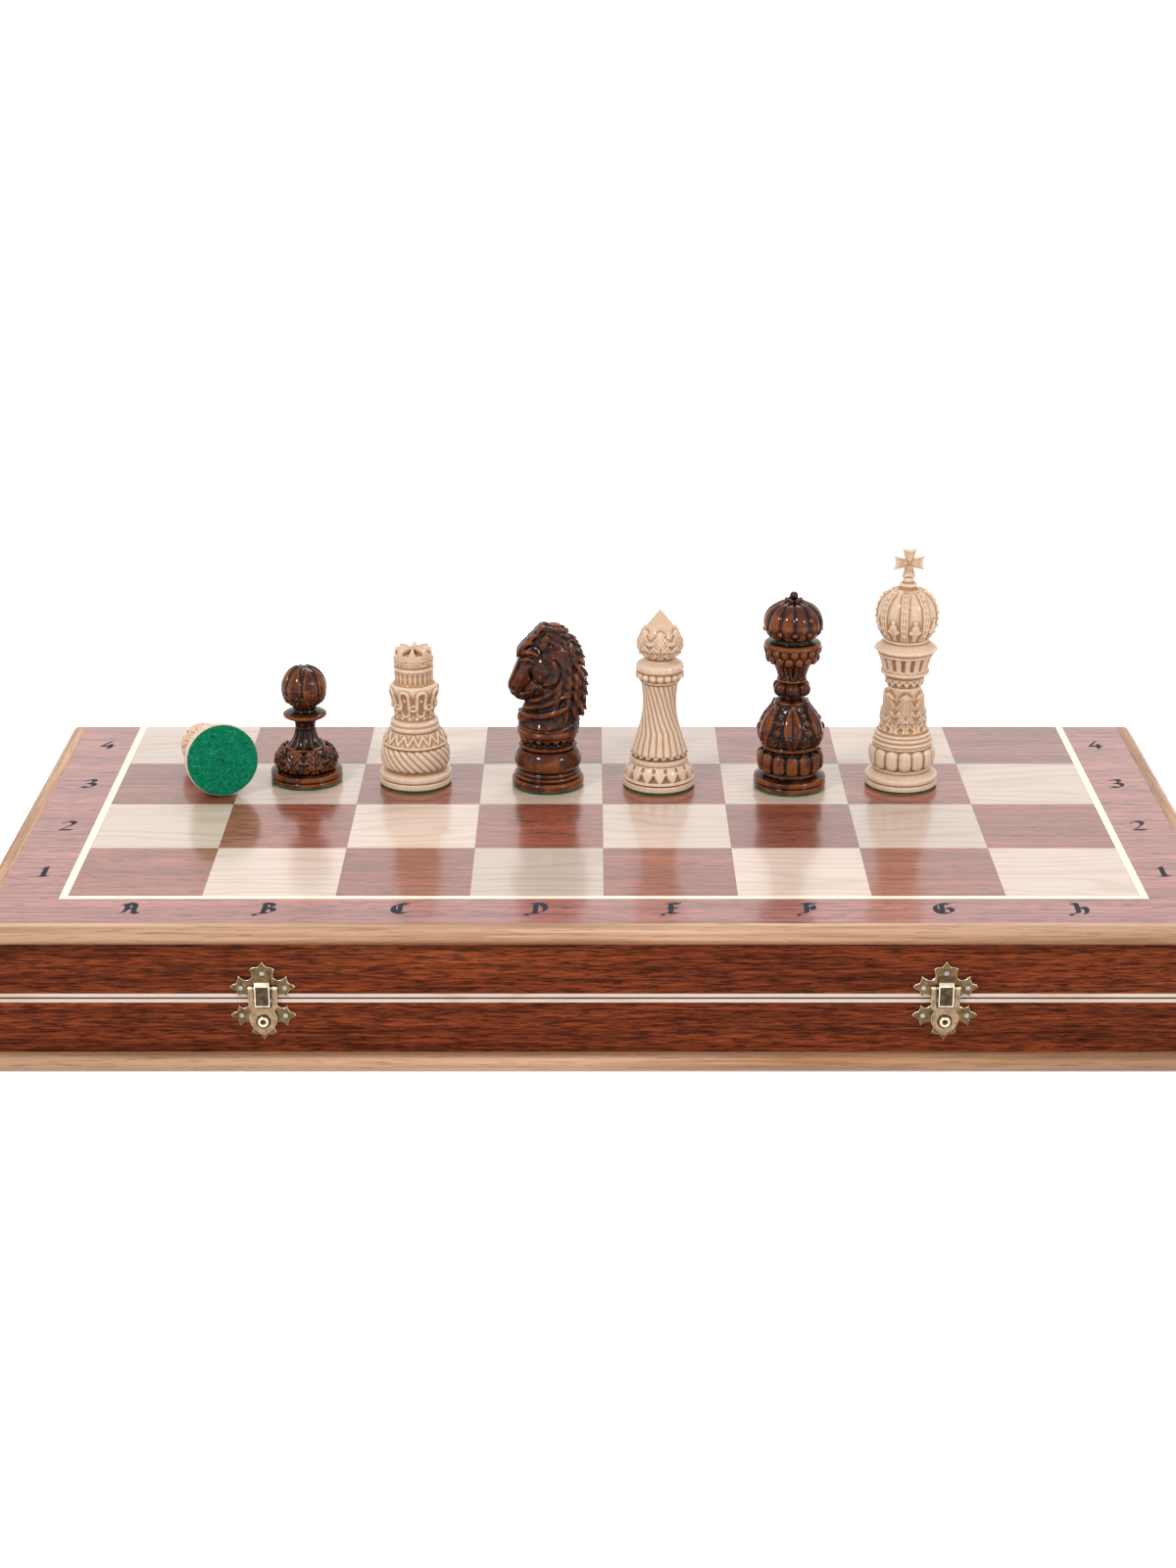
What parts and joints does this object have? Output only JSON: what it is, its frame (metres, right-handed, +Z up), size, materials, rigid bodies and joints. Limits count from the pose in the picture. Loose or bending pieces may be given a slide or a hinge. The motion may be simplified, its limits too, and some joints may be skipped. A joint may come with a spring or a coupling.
{
  "type": "chess set with board",
  "caption": "Folding wooden chess case with the board on its outside, brass hasp latches and a full set of carved pieces, some standing on top and the rest stored inside.",
  "frame": {"origin": "middle of the underside of the closed case", "axes": "+X along the files from A to H, -Y towards the latches at the front, +Z up"},
  "size_m": [0.5408, 0.2722, 0.1831],
  "materials": {
    "playing_face": "glossy lacquered maple and sapele veneer squares with a sapele border",
    "sapele": "satin lacquered red-brown sapele",
    "oak": "satin lacquered tan oak",
    "maple": "pale maple strip",
    "felt": "green felt",
    "brass": "antique brass with bright worn edges",
    "steel": "plain steel pins and nails",
    "dark_wood": "dark brown stained carved wood, glossy",
    "light_wood": "pale carved hardwood, glossy"
  },
  "bodies": {
    "upper_half": {"hinge_left_leaf_upper": "brass", "hinge_left_pin": "steel", "hinge_right_leaf_upper": "brass", "hinge_right_pin": "steel", "latch_left_keeper": "brass", "latch_right_keeper": "brass", "upper_edging": "oak", "upper_lining": "felt", "upper_panel": "playing_face", "upper_rim": "maple", "upper_wall_back": "sapele", "upper_wall_front": "sapele", "upper_wall_left": "sapele", "upper_wall_right": "sapele"},
    "lower_half": {"hinge_left_leaf_lower": "brass", "hinge_right_leaf_lower": "brass", "latch_left_catch": "brass", "latch_right_catch": "brass", "lower_edging": "oak", "lower_lining": "felt", "lower_panel": "playing_face", "lower_rim": "maple", "lower_wall_back": "sapele", "lower_wall_front": "sapele", "lower_wall_left": "sapele", "lower_wall_right": "sapele", "stored_dark_bishop_1": "dark_wood", "stored_dark_bishop_2": "dark_wood", "stored_dark_king_1": "dark_wood", "stored_dark_knight_1": "dark_wood", "stored_dark_pawn_1": "dark_wood", "stored_dark_pawn_2": "dark_wood", "stored_dark_pawn_3": "dark_wood", "stored_dark_pawn_4": "dark_wood", "stored_dark_pawn_5": "dark_wood", "stored_dark_pawn_6": "dark_wood", "stored_dark_pawn_7": "dark_wood", "stored_dark_rook_1": "dark_wood", "stored_dark_rook_2": "dark_wood", "stored_light_bishop_1": "light_wood", "stored_light_knight_1": "light_wood", "stored_light_knight_2": "light_wood", "stored_light_pawn_1": "light_wood", "stored_light_pawn_2": "light_wood", "stored_light_pawn_3": "light_wood", "stored_light_pawn_4": "light_wood", "stored_light_pawn_5": "light_wood", "stored_light_pawn_6": "light_wood", "stored_light_pawn_7": "light_wood", "stored_light_queen_1": "light_wood", "stored_light_rook_1": "light_wood"},
    "hasp_left": {"latch_left_hasp": "brass"},
    "hasp_right": {"latch_right_hasp": "brass"},
    "piece_dark_pawn": {"dark_pawn": "dark_wood"},
    "piece_light_rook": {"light_rook": "light_wood"},
    "piece_dark_knight": {"dark_knight": "dark_wood"},
    "piece_light_bishop": {"light_bishop": "light_wood"},
    "piece_dark_queen": {"dark_queen": "dark_wood"},
    "piece_light_king": {"light_king": "light_wood"},
    "piece_light_pawn": {"light_pawn": "light_wood"}
  },
  "joints": [
    {"name": "fold", "type": "hinge", "parent": "upper_half", "child": "lower_half", "pos_m": [0, 0.13517, 0.0332], "axis": [1, 0, 0], "range_deg": [0, 180]},
    {"name": "hasp_left_swing", "type": "hinge", "parent": "upper_half", "child": "hasp_left", "pos_m": [-0.145, -0.13278, 0.0388], "axis": [-1, 0, 0], "range_deg": [0, 130]},
    {"name": "hasp_right_swing", "type": "hinge", "parent": "upper_half", "child": "hasp_right", "pos_m": [0.145, -0.13278, 0.0388], "axis": [-1, 0, 0], "range_deg": [0, 130]},
    {"name": "lift_dark_pawn", "type": "slide", "parent": "upper_half", "child": "piece_dark_pawn", "axis": [0, 0, 1], "range_m": [0, 0.15]},
    {"name": "lift_light_rook", "type": "slide", "parent": "upper_half", "child": "piece_light_rook", "axis": [0, 0, 1], "range_m": [0, 0.15]},
    {"name": "lift_dark_knight", "type": "slide", "parent": "upper_half", "child": "piece_dark_knight", "axis": [0, 0, 1], "range_m": [0, 0.15]},
    {"name": "lift_light_bishop", "type": "slide", "parent": "upper_half", "child": "piece_light_bishop", "axis": [0, 0, 1], "range_m": [0, 0.15]},
    {"name": "lift_dark_queen", "type": "slide", "parent": "upper_half", "child": "piece_dark_queen", "axis": [0, 0, 1], "range_m": [0, 0.15]},
    {"name": "lift_light_king", "type": "slide", "parent": "upper_half", "child": "piece_light_king", "axis": [0, 0, 1], "range_m": [0, 0.15]},
    {"name": "lift_light_pawn", "type": "slide", "parent": "upper_half", "child": "piece_light_pawn", "axis": [0, 0, 1], "range_m": [0, 0.15]}
  ]
}
